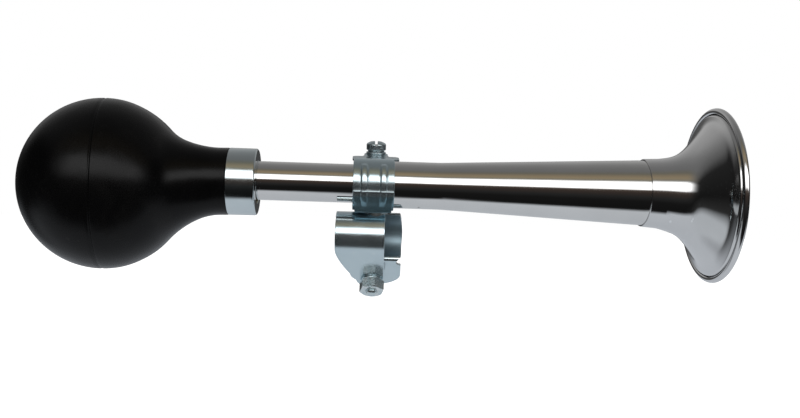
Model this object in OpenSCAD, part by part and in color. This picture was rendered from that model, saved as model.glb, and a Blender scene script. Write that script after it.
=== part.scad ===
// Straight bulb horn: rubber bulb, reed, tapered tube and spun bell, on a
// two-strap bracket that swivels on a handlebar. Millimetres, +Z up.
// Origin: middle of the handlebar bore. +X runs along the horn to the bell.

/* [Handlebar strap] */
// radius of the handlebar bore
bar_r = 9.5; // [9:0.1:16]
// sheet thickness of the handlebar strap
bar_t = 1.1; // [1:0.1:2]
// left edge of the front wall, from the swivel axis
front_x0 = -17.7; // [-20:0.1:-10]
// right edge of the front wall, from the swivel axis
front_x1 = 4.3; // [3:0.1:12]
// left edge of the rear wall, from the swivel axis
rear_x0 = -11.5; // [-20:0.1:-8]
// right edge of the rear wall, from the swivel axis
rear_x1 = 12; // [8:0.1:20]
// bolt axis from the swivel axis, along the bar
bolt_x = -1.1; // [-4:0.1:2]
// angle between handlebar and horn, seen from above
bar_yaw = 2; // [0:1:90]
// direction that the front ear faces, from straight up towards the front
bar_ear_dir = 142; // [120:1:170]
// bolt axis, distance along the ears from the bore axis
bar_bolt_s = 22.5; // [16:0.1:24]
// outer face of the rear ear, distance from the bore axis
rear_ear_n = 8.3; // [7:0.1:8.6]

/* [Horn band] */
// height of the horn's axis over the bore's axis
horn_h = 23.3; // [23:0.1:30]
// sheet thickness of the horn band
band_t = 1.2; // [0.8:0.1:2]
// width of the horn band
band_w = 18.3; // [12:0.1:22]
// middle of the band from the swivel axis
band_x = -1.6; // [-4:0.1:4]
// upward slope of the ears behind the tube
ear_slope = 6; // [0:0.5:25]
// screw axis, distance along the ears from the horn's axis
screw_s = 16.1; // [15:0.1:19]
// screw axis from the swivel axis, along the horn
screw_x = -0.6; // [-2:0.1:8]
// clear gap between the two ears
ear_gap = 0.6; // [0.5:0.1:4]
// height of the pressed ribs
rib_h = 0.5; // [0.2:0.05:1]

/* [Tubes and bell] */
// outside radius of the slim rear tube
rear_r = 8.65; // [6:0.05:12]
// outside radius of the tapered tube at its small end
cone_r = 10.53; // [8:0.01:14]
// outside radius of the tapered tube at its large end
cone_end_r = 14.72; // [12:0.01:18]
// sheet thickness of the tubes
tube_t = 0.7; // [0.4:0.05:1.2]
// sheet thickness of the bell
bell_t = 0.55; // [0.4:0.05:1]
// radius of the rolled rim's section
bead_r = 1.55; // [1:0.05:2.5]
// outside radius of the rim
rim_r = 40.05; // [30:0.05:50]

/* [Bulb] */
// outside radius of the bulb
bulb_r = 37.7; // [25:0.1:50]
// wall of the bulb
bulb_wall = 3; // [2:0.1:5]
// radius of the neck behind the ferrule
neck_r = 15; // [12:0.1:20]
// radius of the hollow curve from bulb to neck
neck_fillet = 31; // [10:0.5:40]
// outside radius of the ferrule
ferrule_r = 14.8; // [12:0.1:18]

/* [Hidden] */
$fn = 96;
e = 0.01;
x0 = -2.7;           // horn stations are counted from here
bar_ro = bar_r + bar_t;
band_ri = cone_r + 0.05;
band_ro = band_ri + band_t;

// stations along the horn, from the small mark under the band
u_bulb = -117.5;     // middle of the bulb
u_ferr0 = -63;       // rear edge of the ferrule
u_ferr1 = -50.5;     // front face of the ferrule
u_tube0 = -66;       // rear end of the slim tube
u_cone0 = -7.4;      // small end of the tapered tube
u_taper = 31;        // where the taper begins
u_taper1 = 122;      // where the taper ends
u_cone1 = 130;       // large end of the tapered tube
u_bell0 = 123.4;     // edge of the bell's collar
u_crease = 130.5;    // end of the collar
u_rim = 156;         // middle of the rolled rim

// flat seat of the swivel on the lower strap
seat_r = 5.2;
swivel_z0 = bar_ro + 0.1;
swivel_z1 = horn_h - band_ro - 0.2;

// ---- frames -------------------------------------------------------------

// local Z runs along the horn
module on_horn() translate([x0, 0, horn_h]) rotate([0, 90, 0]) children();

// local X along the horn, local Y along the band's ears, local Z the screw's way out
module on_band_ear() translate([0, 0, horn_h]) rotate([ear_slope, 0, 0]) children();

// local X along the handlebar
module on_bar() rotate([0, 0, -bar_yaw]) children();

// local X along the handlebar, local Y along the ears, local Z the bolt's way out
module on_bar_ear() on_bar() rotate([bar_ear_dir, 0, 0]) rotate([0, 0, 180]) children();

// ---- helpers ------------------------------------------------------------

module ring(ro, ri, z0, z1) translate([0, 0, z0]) difference() {
    cylinder(r = ro, h = z1 - z0);
    translate([0, 0, -1]) cylinder(r = ri, h = z1 - z0 + 2);
}

// wedge of a disc in the plane across a strap: from angle a0 to a1, counted from straight up to the front
module sector(r, a0, a1, n = 40)
    polygon(concat([[0, 0]], [for (i = [0:n]) let (a = a0 + (a1 - a0) * i / n) [-r * sin(a), r * cos(a)]]));

// a shape drawn in the (y, z) plane and pushed along x
module along_x(x_from, x_to) translate([x_from, 0, 0]) rotate([90, 0, 90]) linear_extrude(x_to - x_from) children();

module arc_wall(ri, ro, a0, a1) difference() {
    intersection() { circle(r = ro); sector(ro * 3, a0, a1); }
    circle(r = ri);
}

function smooth(t) = t <= 0 ? 0 : t >= 1 ? 1 : t * t * (3 - 2 * t);

// ---- sounding side ------------------------------------------------------

// outline of the bulb: round back, hollow curve down to the neck
function fil_u(R, f, nr) = u_bulb + sqrt(pow(R + f, 2) - pow(nr + f, 2));
function bulb_line(R, f, nr, u_end, groove) = let (
        uc = fil_u(R, f, nr),
        a_t = atan2(nr + f, uc - u_bulb),
        a_g = acos(groove / R))
    concat(
        [for (i = [0:20]) let (a = 180 - a_g * i / 20) [max(0, R * sin(a)), u_bulb + R * cos(a)]],
        groove > 0 ? [[R - 0.5, u_bulb]] : [],
        [for (i = [groove > 0 ? 0 : 1:14]) let (a = a_g + (a_t - a_g) * i / 14) [R * sin(a), u_bulb + R * cos(a)]],
        [for (i = [1:14]) let (a = (180 + a_t) + (270 - 180 - a_t) * i / 14) [nr + f + f * sin(a), uc + f * cos(a)]],
        [[nr, u_end]]);

module bulb() color([0.05, 0.05, 0.055]) on_horn() difference() {
    union() {
        rotate_extrude() polygon(concat(bulb_line(bulb_r, neck_fillet, neck_r, u_ferr0 - 0.2, 0.4), [[0, u_ferr0 - 0.2]]));
        translate([0, 0, u_ferr0 - 1]) cylinder(r = ferrule_r - 0.95, h = 9.3);
    }
    rotate_extrude() polygon(concat(bulb_line(bulb_r - bulb_wall, neck_fillet, neck_r - bulb_wall, u_ferr0 - 0.2, 0), [[0, u_ferr0 - 0.2]]));
    translate([0, 0, u_ferr0 - 3]) cylinder(r = 10.75, h = 20);
}

module ferrule() color([0.62, 0.66, 0.68]) on_horn() difference() {
    rotate_extrude() polygon([[0, u_ferr0], [ferrule_r, u_ferr0], [ferrule_r, u_ferr1 - 1.2],
        [ferrule_r - 0.16, u_ferr1 - 0.6], [ferrule_r - 0.6, u_ferr1 - 0.16], [ferrule_r - 1.2, u_ferr1], [0, u_ferr1]]);
    translate([0, 0, u_ferr0 - 1]) cylinder(r = ferrule_r - 0.85, h = u_ferr1 - u_ferr0);
    translate([0, 0, u_ferr0 - 1]) cylinder(r = rear_r + 0.7, h = 20);
}

module neck_bush() color([0.72, 0.58, 0.3]) on_horn() {
    ring(10.65, rear_r + 0.05, u_ferr0 + 1, u_ferr1 - 2.9);
    ring(ferrule_r - 1.2, rear_r + 0.05, u_ferr1 - 3, u_ferr1 - 1.05);
}

module rear_tube() color([0.8, 0.8, 0.8]) on_horn() ring(rear_r, rear_r - tube_t, u_tube0, 9);

module joint_bush() color([0.72, 0.58, 0.3]) on_horn() ring(cone_r - tube_t - 0.03, rear_r + 0.03, u_cone0 + 0.3, 8);

module cone_tube() color([0.8, 0.8, 0.8]) on_horn() rotate_extrude() polygon([
    [cone_r - tube_t, u_cone0], [cone_r, u_cone0], [cone_r, u_taper], [cone_end_r, u_taper1 - 0.4], [cone_end_r, u_cone1],
    [cone_end_r - tube_t, u_cone1], [cone_end_r - tube_t, u_taper1 - 0.4], [cone_r - tube_t, u_taper]]);

// outside of the flare
function flare(u) = cone_end_r + 1.05 + 0.152 * (u - u_crease) + 4.243 * ln(1 + exp((u - 142.3) / 2.93));
function flare_slope(u) = 0.152 + 1.447 / (1 + exp(-(u - 142.3) / 2.93));
flare_end = u_rim - 1.05;

module bell() color([0.82, 0.82, 0.82]) on_horn() {
    rotate_extrude() polygon(concat(
        [[cone_end_r + 0.06, u_bell0], [cone_end_r + 0.66, u_bell0]],
        [for (i = [0:26]) let (u = u_crease + (flare_end - u_crease) * i / 26) [flare(u), u]],
        [for (i = [26:-1:0]) let (u = u_crease + (flare_end - u_crease) * i / 26, s = flare_slope(u), q = bell_t / sqrt(1 + s * s))
            [flare(u) - q, u + q * s]]));
    // rolled rim, left open at the back where the sheet's edge comes round
    rotate_extrude() translate([rim_r - bead_r, u_rim]) difference() {
        circle(r = bead_r);
        circle(r = bead_r - 0.5);
        polygon([[0, 0], [-4 * cos(118), -4 * sin(118)], [-4 * cos(150), -4 * sin(150)]]);
    }
}

module rim_wire() color([0.55, 0.55, 0.55]) on_horn() rotate_extrude() translate([rim_r - bead_r, u_rim]) circle(r = bead_r - 0.6);

// reed: half-round trough, tongue over its flat, wedge and ring at the root
reed_u0 = -92;
reed_root = -69.85;
reed_flat = 0.8;

module reed_holder() color([0.75, 0.6, 0.28]) on_horn() {
    ring(rear_r - tube_t - 0.04, 4.15, u_tube0 - 0.1, u_tube0 + 10);
    ring(rear_r - 0.05, 4.15, u_tube0 - 1.1, u_tube0 - 0.05);
}

module reed_shallot() color([0.78, 0.62, 0.3]) difference() {
    on_horn() ring(4.1, 3.2, reed_u0, u_tube0 + 9);
    translate([x0 + reed_u0 - 1, -6, horn_h + reed_flat]) cube([reed_root + 1.25 - reed_u0 + 1, 12, 8]);
}

module reed_tongue() color([0.82, 0.68, 0.36]) translate([x0 + reed_root, 0, horn_h + reed_flat + 0.35]) rotate([0, 2, 0])
    translate([-21.6, -3.6, -0.16]) cube([22.6, 7.2, 0.32]);

module reed_wedge() color([0.7, 0.55, 0.28]) intersection() {
    on_horn() translate([0, 0, reed_root - 1.15]) cylinder(r = 4.05, h = 2.3);
    translate([x0 + reed_root - 5, -6, horn_h + reed_flat + 0.75]) cube([10, 12, 8]);
}

module reed_clip() color([0.6, 0.6, 0.6]) on_horn() ring(4.9, 4.15, reed_root - 1, reed_root + 1);

// ---- horn band ----------------------------------------------------------

// angle where the rear wall meets the lower ear
ear_n = band_ri - ear_gap - band_t;
ear_fold = 360 + ear_slope - 90 + asin((ear_n + band_t / 2) / (band_ri + band_t / 2));

// the band narrows towards its upper ear from just in front of the top
ear_r = 5.4;
function ear_blend(s) = smooth((s + 5) / 17);
function ear_left(s) = band_x - band_w / 2 + ear_blend(s) * (screw_x - ear_r - band_x + band_w / 2);
function ear_right(s) = band_x + band_w / 2 + ear_blend(s) * (screw_x + ear_r - band_x - band_w / 2);

module front_ear_plan() polygon(concat(
    [for (i = [0:12]) [ear_left(i), i]],
    [for (i = [0:12]) let (a = 180 - 15 * i) [screw_x + ear_r * cos(a), screw_s + ear_r * sin(a)]],
    [for (i = [12:-1:0]) [ear_right(i), i]]));

module band_top_cut() {
    polygon(concat([for (i = [0:12]) let (s = -5 + 5 * i / 12) [ear_left(s), s]], [[-40, 0], [-40, -5]]));
    polygon(concat([for (i = [0:12]) let (s = -5 + 5 * i / 12) [ear_right(s), s]], [[40, 0], [40, -5]]));
}

module rear_ear_plan() {
    s0 = sqrt(pow(band_ri + band_t / 2, 2) - pow(ear_n + band_t / 2, 2)) - 0.3;
    c = 3;
    x1 = screw_x - 10.8;
    x2 = screw_x + 10.8;
    s1 = screw_s + 5;
    difference() {
        translate([x1, s0]) square([x2 - x1, s1 - s0]);
        for (x = [x1, x2]) difference() {
            translate([x - c, s1 - c]) square([2 * c, 2 * c]);
            translate([x == x1 ? x1 + c : x2 - c, s1 - c]) circle(r = c);
            if (x == x1) translate([x1 + c, s1 - c - e]) square([c, c]);
            else translate([x2 - 3 * c, s1 - c - e]) square([2 * c, c]);
        }
    }
}

module horn_band() color([0.5, 0.58, 0.62]) difference() {
    union() {
        difference() {
            translate([0, 0, horn_h]) along_x(band_x - band_w / 2, band_x + band_w / 2) arc_wall(band_ri, band_ro, ear_slope - 2, ear_fold);
            on_band_ear() translate([0, 0, 4]) linear_extrude(12) band_top_cut();
        }
        on_band_ear() translate([0, 0, band_ri]) linear_extrude(band_t) front_ear_plan();
        on_band_ear() translate([0, 0, ear_n]) linear_extrude(band_t) rear_ear_plan();
        // pressed ribs round the front
        for (x = [band_x - 4.3, band_x + 4.3]) translate([x, 0, horn_h]) intersection() {
            rotate([0, 90, 0]) rotate_extrude() translate([band_ro - 0.75, 0]) intersection() {
                translate([0.7 + rib_h - 2.6, 0]) circle(r = 2.6);
                translate([0, -1.7]) square([3, 3.4]);
            }
            along_x(-3, 3) sector(30, 34, 130);
        }
        // foot that draws in to the swivel
        translate([0, 0, horn_h]) along_x(band_x - band_w / 2 + 0.2, band_x + band_w / 2 - 0.2) for (k = [-1, 1]) polygon([
            [0, -2.2], [k * 11.5, -2.2], [k * 11.85, -3.6], [k * 11.55, -5.2], [k * 10.85, -7.2], [k * 9.9, -9.2], [k * 9.2, -11], [k * 9, swivel_z1 - horn_h], [0, swivel_z1 - horn_h]]);
    }
    on_horn() translate([0, 0, -30]) cylinder(r = band_ri, h = 60);
    on_band_ear() translate([screw_x, screw_s, 0]) cylinder(r = 2.75, h = 20);
    translate([0, 0, swivel_z1 - 1]) cylinder(r = 2.15, h = 5);
    translate([0, 0, swivel_z1 + 0.3]) cylinder(r1 = 2.15, r2 = 3.2, h = 1.05);
    translate([0, 0, swivel_z1 + 1.349]) cylinder(r = 3.2, h = 2);
}

screw_n = band_ro;

module band_washer() color([0.55, 0.6, 0.62]) on_band_ear() translate([screw_x, screw_s, screw_n]) ring(4.5, 2.75, 0.02, 1);

module band_lockwasher() color([0.5, 0.54, 0.56]) on_band_ear() translate([screw_x, screw_s, screw_n]) difference() {
    ring(3.7, 2.6, 1.03, 1.8);
    translate([0, 3, 0]) rotate([0, 35, 0]) cube([0.5, 4, 8], center = true);
}

module band_screw() color([0.5, 0.56, 0.58]) on_band_ear() translate([screw_x, screw_s, screw_n]) difference() {
    union() {
        translate([0, 0, -10.2]) cylinder(r1 = 2, r2 = 2.45, h = 0.6);
        translate([0, 0, -9.6]) cylinder(r = 2.45, h = 11.6);
        translate([0, 0, 1.85]) cylinder(r = 4.5, h = 2.9);
        translate([0, 0, 4.749]) cylinder(r1 = 4.5, r2 = 4.1, h = 0.6);
        translate([0, 0, 5.348]) cylinder(r1 = 4.1, r2 = 3.1, h = 0.4);
    }
    translate([-0.65, -6, 4]) cube([1.3, 12, 4]);
}

module band_nut() color([0.5, 0.54, 0.56]) on_band_ear() translate([screw_x, screw_s, ear_n - 4.05]) difference() {
    translate([-4, -4, 0]) cube([8, 8, 4]);
    translate([0, 0, -1]) cylinder(r = 2.5, h = 6);
}

// ---- swivel -------------------------------------------------------------

module swivel_washer() color([0.6, 0.62, 0.64]) ring(seat_r, 2.2, swivel_z0 + 0.02, swivel_z1 - 0.02);

module swivel_rivet() color([0.55, 0.57, 0.6]) {
    translate([0, 0, bar_r + 0.12]) cylinder(r1 = 3.1, r2 = 2, h = 1.1);
    translate([0, 0, bar_r + 0.12]) cylinder(r = 2, h = swivel_z1 + 1.2 - bar_r - 0.12);
    translate([0, 0, swivel_z1 + 0.45]) cylinder(r1 = 2, r2 = 2.9, h = 0.9);
}

// ---- handlebar strap ----------------------------------------------------

// front ear: straight on its right, drawn in on its left
ear_half = 6.4;
ear_mid = front_x1 - ear_half;
function front_left(s) = front_x0 + (ear_mid - ear_half - front_x0) * pow((s + 3) / (bar_bolt_s + 3), 1.5);

// section of the strap, drawn as (along the ears, the bolt's way out); the bore is cut afterwards
bolt_n0 = rear_ear_n - bar_t;
ear_s1 = bar_bolt_s + 8.2;
function spoke(r, a) = [r * cos(a), r * sin(a)];
// the rear wall stops a little short of the rear ear, so that the fold is a flat step
fold_out = asin((bolt_n0 - 0.9) / bar_ro);
fold_in = asin((bolt_n0 - 0.1) / (bar_r - 0.25));
fold_s = bar_ro * cos(fold_out) + 0.4;
bar_section = concat(
    [[ear_s1, bar_ro]],
    [for (i = [0:60]) spoke(bar_ro, 90 + (270 + fold_out) * i / 60)],
    [[fold_s, bolt_n0], [ear_s1, bolt_n0], [ear_s1, rear_ear_n], [(bar_r - 0.25) * cos(fold_in) + 0.5, rear_ear_n]],
    [for (i = [60:-1:0]) spoke(bar_r - 0.25, 90 + (270 + fold_in) * i / 60)],
    [[4, bar_r + 0.1], [ear_s1, bar_r + 0.1]]);

// the front half of that section, up to an angle past the top
ear_mid_n = (rear_ear_n + bar_r + 0.1) / 2;
module front_zone(past) polygon([spoke(60, 90 + bar_ear_dir + past), [0, 0], [0, ear_mid_n], [60, ear_mid_n], [60, 60], [-60, 60], [-60, -60]]);

module bar_piece(x_from, x_to) on_bar_ear() translate([-x_to, 0, 0]) rotate([90, 0, 90]) linear_extrude(x_to - x_from) children();

// what is trimmed off beside the two ears
module bar_front_cut() {
    polygon(concat([for (i = [0:12]) let (s = -3 + (bar_bolt_s + 3) * i / 12) [-front_left(s), s]],
        [for (i = [1:9]) [ear_half * cos(10 * i) - ear_mid, bar_bolt_s + ear_half * sin(10 * i)]],
        [[-ear_mid, 60], [60, 60], [60, -3]]));
    polygon(concat([for (i = [0:9]) [-ear_half * cos(10 * i) - ear_mid, bar_bolt_s + ear_half * sin(10 * i)]],
        [[-ear_mid, 60], [-60, 60], [-60, bar_bolt_s]]));
}

module bar_rear_cut() difference() {
    translate([-60, bar_bolt_s - 1.8]) square([120, 60]);
    translate([-(rear_x0 + rear_x1) / 2, bar_bolt_s - 1.8]) scale([(rear_x1 - rear_x0) / 2, 9.5]) circle(r = 1);
}

module bar_strap() color([0.5, 0.58, 0.62]) difference() {
    union() {
        bar_piece(front_x0, front_x1) intersection() { polygon(bar_section); front_zone(4); }
        bar_piece(rear_x0, rear_x1) difference() { polygon(bar_section); front_zone(-4); }
        translate([0, 0, bar_r - 2.2]) cylinder(r = seat_r, h = swivel_z0 - bar_r + 2.2);
    }
    on_bar() rotate([0, 90, 0]) translate([0, 0, -30]) cylinder(r = bar_r, h = 60);
    on_bar_ear() translate([0, 0, rear_ear_n + 0.6]) linear_extrude(12) bar_front_cut();
    on_bar_ear() translate([0, 0, bolt_n0 - 1]) linear_extrude(bar_t + 1.5) bar_rear_cut();
    on_bar_ear() translate([-bolt_x, bar_bolt_s, 0]) cylinder(r = 2.75, h = 20);
    // bend reliefs at the fold
    for (x = [rear_x0, rear_x1]) on_bar_ear() translate([-x, fold_s + 0.6, bolt_n0 - 2]) cylinder(r = 2.2, h = 3.9);
    translate([0, 0, bar_r - 2]) cylinder(r = 2.03, h = 6);
    translate([0, 0, bar_r - 0.9]) cylinder(r1 = 4.18, r2 = 2.03, h = 2.12);
}

module bar_bolt() color([0.5, 0.55, 0.58]) on_bar_ear() translate([-bolt_x, bar_bolt_s, 0]) difference() {
    union() {
        translate([0, 0, bolt_n0 - 2.7]) cylinder(r1 = 3.5, r2 = 4.1, h = 0.6);
        translate([0, 0, bolt_n0 - 2.101]) cylinder(r = 4.1, h = 2.08);
        translate([0, 0, bolt_n0 - 1]) cylinder(r = 2.45, h = bar_ro + 6.8 - bolt_n0 + 1);
        translate([0, 0, bar_ro + 6.799]) cylinder(r1 = 2.45, r2 = 1.9, h = 0.7);
    }
    translate([-0.6, -5, bolt_n0 - 4.7]) cube([1.2, 10, 3.3]);
}

module bar_washer() color([0.52, 0.57, 0.6]) on_bar_ear() translate([-bolt_x, bar_bolt_s, bar_ro]) ring(4.9, 2.65, 0.02, 0.82);

module bar_nut() color([0.45, 0.52, 0.56]) on_bar_ear() translate([-bolt_x, bar_bolt_s, bar_ro + 0.85]) difference() {
    intersection() {
        linear_extrude(5) polygon([for (i = [0:5]) 5.9 * [cos(60 * i + 15), sin(60 * i + 15)]]);
        rotate_extrude() polygon([[0, 0], [5.3, 0], [6, 0.4], [6, 4.35], [5.1, 5], [0, 5]]);
    }
    translate([0, 0, -1]) cylinder(r = 2.5, h = 7);
}

bulb();
ferrule();
neck_bush();
rear_tube();
joint_bush();
cone_tube();
bell();
rim_wire();
reed_holder();
reed_shallot();
reed_tongue();
reed_wedge();
reed_clip();
horn_band();
band_screw();
band_lockwasher();
band_washer();
band_nut();
swivel_rivet();
swivel_washer();
bar_strap();
bar_bolt();
bar_washer();
bar_nut();
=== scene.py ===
"""Looks of the bulb horn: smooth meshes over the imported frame, procedural finishes, camera and light."""
import math

import bmesh  # noqa: E402
import bpy  # noqa: E402
import numpy as np  # noqa: E402
from mathutils import Matrix, Vector  # noqa: E402


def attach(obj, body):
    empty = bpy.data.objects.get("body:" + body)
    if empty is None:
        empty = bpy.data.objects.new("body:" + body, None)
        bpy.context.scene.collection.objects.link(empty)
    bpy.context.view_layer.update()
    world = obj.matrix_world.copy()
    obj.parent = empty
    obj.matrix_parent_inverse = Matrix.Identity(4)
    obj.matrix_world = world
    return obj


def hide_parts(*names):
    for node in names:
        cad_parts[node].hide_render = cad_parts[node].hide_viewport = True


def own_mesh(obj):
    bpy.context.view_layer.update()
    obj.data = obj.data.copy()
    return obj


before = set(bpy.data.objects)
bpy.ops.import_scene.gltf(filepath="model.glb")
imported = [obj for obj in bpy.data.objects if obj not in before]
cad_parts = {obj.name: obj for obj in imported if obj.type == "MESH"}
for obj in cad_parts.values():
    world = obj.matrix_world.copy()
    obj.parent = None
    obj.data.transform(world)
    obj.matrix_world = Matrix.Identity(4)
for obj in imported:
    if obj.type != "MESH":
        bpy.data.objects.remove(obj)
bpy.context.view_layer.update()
MM = 0.001
TAU = 2 * math.pi
rad = math.radians

# ---------------------------------------------------------------- dimensions (mm)
HORN_H, X0 = 23.3, -2.7
REAR_R, CONE_R, CONE_END, TUBE_T = 8.65, 10.53, 14.72, 0.7
BAR_R, BAR_T = 9.5, 1.1
FRONT_X, REAR_X, BOLT_X = (-17.7, 4.3), (-11.5, 12.0), -1.1
BAND_RI, BAND_T, BAND_W, BAND_X = 10.58, 1.2, 18.3, -1.6
SCREW_X, SCREW_S, EAR_N, EAR_SLOPE = -0.6, 16.1, 8.78, 6.0
BAND_RO, BAR_RO = BAND_RI + BAND_T, BAR_R + BAR_T
SEAT_R, SW0, SW1 = 5.2, 10.7, 11.32
BOLT_S, EAR_HALF, REAR_N = 22.5, 6.4, 8.3


def smooth(t):
    t = min(1.0, max(0.0, t))
    return t * t * (3 - 2 * t)


# ---------------------------------------------------------------- frames: columns are local x, y, z and the origin
def axes(o, ex, ey, ez):
    return np.array(o, float), np.array([ex, ey, ez], float).T


HORN = axes((X0, 0, HORN_H), (0, 0, 1), (0, -1, 0), (1, 0, 0))
_s, _c = math.sin(rad(EAR_SLOPE)), math.cos(rad(EAR_SLOPE))
BAND = axes((0, 0, HORN_H), (1, 0, 0), (0, _c, _s), (0, -_s, _c))
_yaw, _dir = rad(-2), rad(142)
_A = np.array((math.cos(_yaw), math.sin(_yaw), 0.0))
_B = np.array((-math.sin(_yaw), math.cos(_yaw), 0.0))
_Z = np.array((0, 0, 1.0))
_tb = -(_B * math.cos(_dir) + _Z * math.sin(_dir))
_nb = -_B * math.sin(_dir) + _Z * math.cos(_dir)
BAR = axes((0, 0, 0), -_A, _tb, _nb)
UP = axes((0, 0, 0), (1, 0, 0), (0, 1, 0), (0, 0, 1))


def shifted(fr, x, y, z):
    o, m = fr
    return o + m @ np.array((x, y, z), float), m


def to_world(fr, pts):
    o, m = fr
    return np.asarray(pts, float) @ m.T + o


# ---------------------------------------------------------------- mesh helpers
def mesh_from(name, verts, faces, weld=1e-4):
    """A closed mesh from points in millimetres, welded, with its normals out."""
    me = bpy.data.meshes.new(name)
    me.from_pydata((np.asarray(verts, float) * MM).tolist(), [], [tuple(f) for f in faces])
    bm = bmesh.new()
    bm.from_mesh(me)
    bmesh.ops.remove_doubles(bm, verts=bm.verts, dist=weld * MM)
    bmesh.ops.dissolve_degenerate(bm, edges=bm.edges, dist=1e-8)
    bmesh.ops.recalc_face_normals(bm, faces=bm.faces)
    bm.to_mesh(me)
    bm.free()
    o = bpy.data.objects.new(name, me)
    bpy.context.scene.collection.objects.link(o)
    return o


def spin(name, rows, fr, seg=192, cyclic=False, weld=1e-4):
    """Rows of (radius, height), numbers or one per angle, turned about local z. A radius of 0 is a pole."""
    th = np.arange(seg) * TAU / seg
    verts, faces, index = [], [], []
    for r, z in rows:
        if np.ndim(r) == 0 and abs(r) < 1e-9:
            index.append([len(verts)])
            verts.append((0.0, 0.0, float(np.mean(z))))
            continue
        r = np.broadcast_to(np.asarray(r, float), (seg,))
        z = np.broadcast_to(np.asarray(z, float), (seg,))
        index.append(list(range(len(verts), len(verts) + seg)))
        verts.extend(np.stack([r * np.cos(th), r * np.sin(th), z], 1).tolist())
    pairs = list(zip(index[:-1], index[1:])) + ([(index[-1], index[0])] if cyclic else [])
    for a, b in pairs:
        for j in range(seg):
            k = (j + 1) % seg
            if len(a) == 1 and len(b) == 1:
                continue
            if len(a) == 1:
                faces.append((a[0], b[j], b[k]))
            elif len(b) == 1:
                faces.append((a[j], b[0], a[k]))
            else:
                faces.append((a[j], b[j], b[k], a[k]))
    return mesh_from(name, to_world(fr, verts), faces, weld)


def rounded(pts, n=6, sup=0.08, closed=True):
    """Corners (a, b, radius) of an outline, rounded, with a support point beside each rounding."""
    out, m = [], len(pts)
    for i, (a, b, r) in enumerate(pts):
        p = np.array((a, b), float)
        if r <= 0 or (not closed and i in (0, m - 1)):
            out.append((a, b))
            continue
        q0, q1 = np.array(pts[i - 1][:2], float), np.array(pts[(i + 1) % m][:2], float)
        d0, d1 = (q0 - p) / np.linalg.norm(q0 - p), (q1 - p) / np.linalg.norm(q1 - p)
        half = math.acos(max(-1, min(1, float(d0 @ d1)))) / 2
        if half > rad(89.5):
            out.append((a, b))
            continue
        d = r / math.tan(half)
        c = p + (d0 + d1) / np.linalg.norm(d0 + d1) * r / math.sin(half)
        s, e = p + d0 * d, p + d1 * d
        a0, a1 = math.atan2(*(s - c)[::-1]), math.atan2(*(e - c)[::-1])
        turn = (a1 - a0 + math.pi) % TAU - math.pi
        gap0, gap1 = np.linalg.norm(q0 - s), np.linalg.norm(q1 - e)
        if gap0 > 2.5 * sup:
            out.append(tuple(s + d0 * sup))
        out += [tuple(c + r * np.array((math.cos(a0 + turn * k / n), math.sin(a0 + turn * k / n)))) for k in range(n + 1)]
        if gap1 > 2.5 * sup:
            out.append(tuple(e + d1 * sup))
    return out


def shade(o, angle=30):
    me = o.data
    me.shade_smooth()
    me.set_sharp_from_angle(angle=rad(angle))
    return o


def boolean(o, other, op):
    """o and other joined or cut with the exact solver; other is used up."""
    mod = o.modifiers.new("cut", "BOOLEAN")
    mod.operation, mod.object, mod.solver = op, other, "EXACT"
    dg = bpy.context.evaluated_depsgraph_get()
    me = bpy.data.meshes.new_from_object(o.evaluated_get(dg))
    o.modifiers.clear()
    old, o.data = o.data, me
    bpy.data.meshes.remove(old)
    used = other.data
    bpy.data.objects.remove(other)
    bpy.data.meshes.remove(used)
    bm = bmesh.new()
    bm.from_mesh(me)
    bmesh.ops.remove_doubles(bm, verts=bm.verts, dist=2e-6 * 0.5)
    bmesh.ops.dissolve_degenerate(bm, edges=bm.edges, dist=1e-8)
    bm.to_mesh(me)
    bm.free()
    return o


def plug(fr, r, z0, z1, seg=48, r1=None):
    """A round cutter."""
    return spin("cutter", [(0, z0), (r, z0), (r if r1 is None else r1, z1), (0, z1)], fr, seg)


def brick(fr, lo, hi):
    p = [(x, y, z) for x in (lo[0], hi[0]) for y in (lo[1], hi[1]) for z in (lo[2], hi[2])]
    f = [(0, 1, 3, 2), (4, 6, 7, 5), (0, 4, 5, 1), (2, 3, 7, 6), (0, 2, 6, 4), (1, 5, 7, 3)]
    return mesh_from("cutter", to_world(fr, p), f)


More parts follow.
